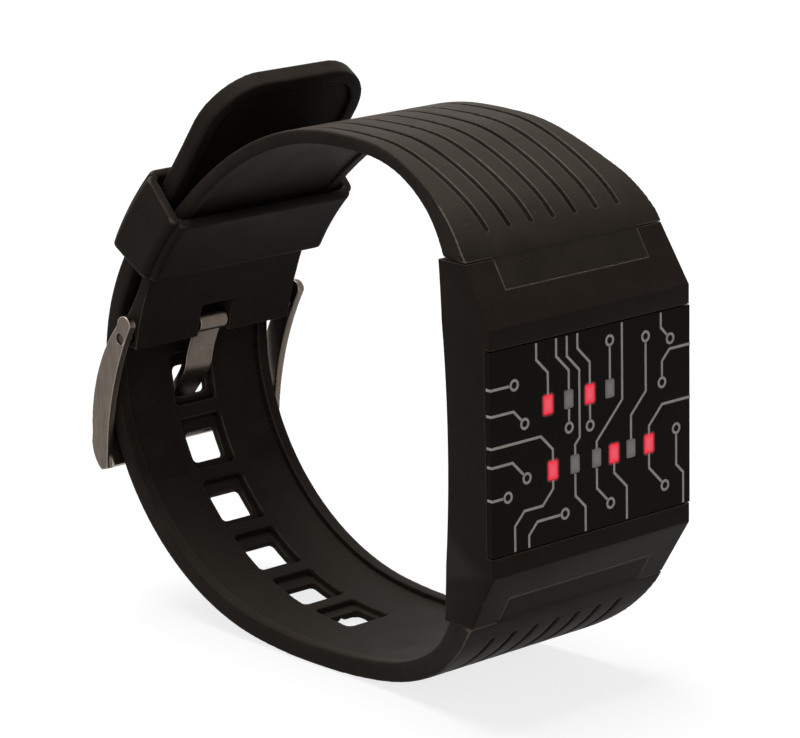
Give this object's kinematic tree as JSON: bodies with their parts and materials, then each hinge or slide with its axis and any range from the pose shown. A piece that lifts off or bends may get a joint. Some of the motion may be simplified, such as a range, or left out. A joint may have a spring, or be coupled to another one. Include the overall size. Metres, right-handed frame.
{
  "type": "binary wristwatch",
  "caption": "Digital wristwatch with a flat dark face that shows the time in rows of lit bits, side push buttons, and a wide grooved rubber strap closed by a buckle and a keeper.",
  "frame": {"origin": "centre of the display panel's front face", "axes": "X across the strap with +X at the 3 o'clock side, the display faces -Y, +Z points to 12 o'clock"},
  "size_m": [0.0389, 0.0918, 0.0836],
  "materials": {
    "case": "fine matte",
    "panel": "satin, printed with thin grey tracks",
    "adhesive": "matte",
    "mask": "matte",
    "guide": "frosted, red where lit and grey where dark",
    "led": "clear red",
    "board": "solder resist",
    "chip": "matte",
    "can": "satin",
    "resistor": "matte",
    "switch": "matte",
    "cell": "satin",
    "holder": "matte",
    "contact": "satin",
    "cover": "brushed",
    "seal": "matte",
    "screw": "satin",
    "button": "matte",
    "strap": "fine matte",
    "buckle": "satin, warm grey"
  },
  "bodies": {
    "watch": {"case_body": "case", "display_panel": "panel", "panel_adhesive": "adhesive", "light_mask": "mask", "hour_light_guides": "guide", "minute_light_guides": "guide", "hour_leds": "led", "minute_leds": "led", "circuit_board": "board", "microcontroller": "chip", "quartz_crystal": "can", "chip_resistors": "resistor", "switch_upper": "switch", "switch_lower": "switch", "coin_cell": "cell", "cell_holder": "holder", "cell_contact": "contact", "cell_clip": "contact", "back_cover": "cover", "back_gasket": "seal", "back_screws": "screw", "button_spring_upper": "contact", "button_spring_lower": "contact", "button_seals": "seal", "strap_upper": "strap", "strap_lower": "strap", "strap_pins": "screw"},
    "push_button_upper": {"button_upper": "button", "button_clip_upper": "contact"},
    "push_button_lower": {"button_lower": "button", "button_clip_lower": "contact"},
    "buckle": {"buckle_frame": "buckle", "buckle_bar": "buckle"},
    "tang": {"buckle_tang": "buckle"},
    "loop": {"keeper": "strap"}
  },
  "joints": [
    {"name": "press_upper", "type": "slide", "parent": "watch", "child": "push_button_upper", "axis": [-1, 0, 0], "range_m": [0, 0.0006], "stiffness_N_per_m": 1500, "springref_m": -0.0003},
    {"name": "press_lower", "type": "slide", "parent": "watch", "child": "push_button_lower", "axis": [-1, 0, 0], "range_m": [0, 0.0006], "stiffness_N_per_m": 1500, "springref_m": -0.0003},
    {"name": "buckle_swing", "type": "hinge", "parent": "watch", "child": "buckle", "pos_m": [0, 0.08265, 0.00174], "axis": [1, 0, 0], "range_deg": [0, 1.5]},
    {"name": "tang_swing", "type": "hinge", "parent": "buckle", "child": "tang", "pos_m": [0, 0.08265, 0.00174], "axis": [1, 0, 0], "range_deg": [0, 1]},
    {"name": "keeper_slide", "type": "hinge", "parent": "watch", "child": "loop", "pos_m": [0, 0.03865, -0.01037], "axis": [1, 0, 0], "range_deg": [-2, 1.5]}
  ]
}
